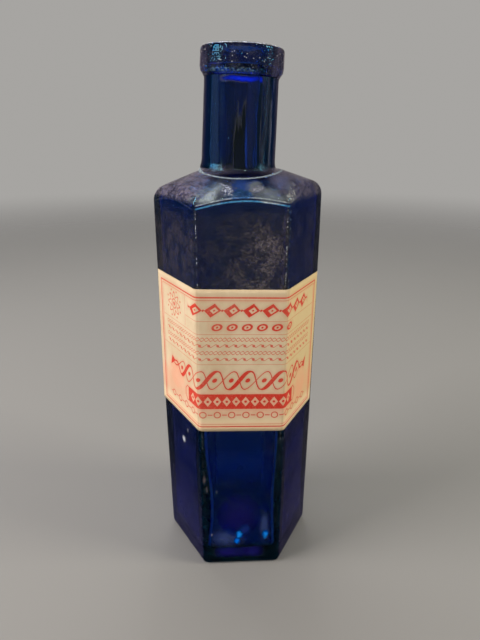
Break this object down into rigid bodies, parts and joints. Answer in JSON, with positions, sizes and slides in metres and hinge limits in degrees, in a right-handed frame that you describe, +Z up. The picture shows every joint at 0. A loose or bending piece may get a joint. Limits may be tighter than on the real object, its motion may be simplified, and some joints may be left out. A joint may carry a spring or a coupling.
{
  "type": "six-sided glass bottle",
  "caption": "Tall six-sided blue glass bottle with a low shoulder, round neck, collared lip and a paper label folded round its front three panels.",
  "frame": {"origin": "middle of the base, on the surface that the bottle stands on", "axes": "+Z up through the body, the label faces -Y, and the crooked neck leans towards +X"},
  "size_m": [0.061, 0.0535, 0.1939],
  "materials": {
    "body_glass": "cobalt blue mould-blown glass, faintly wavy",
    "neck_glass": "cobalt blue glass with drawn upright streaks",
    "lip_glass": "cobalt blue tooled glass with small seeds",
    "label_paper": "aged cream paper, printed in red",
    "dried_paste": "dried brownish paste"
  },
  "bodies": {
    "root": {"body": "body_glass", "neck": "neck_glass", "lip": "lip_glass", "paper_label": "label_paper", "label_paste": "dried_paste"}
  },
  "joints": []
}
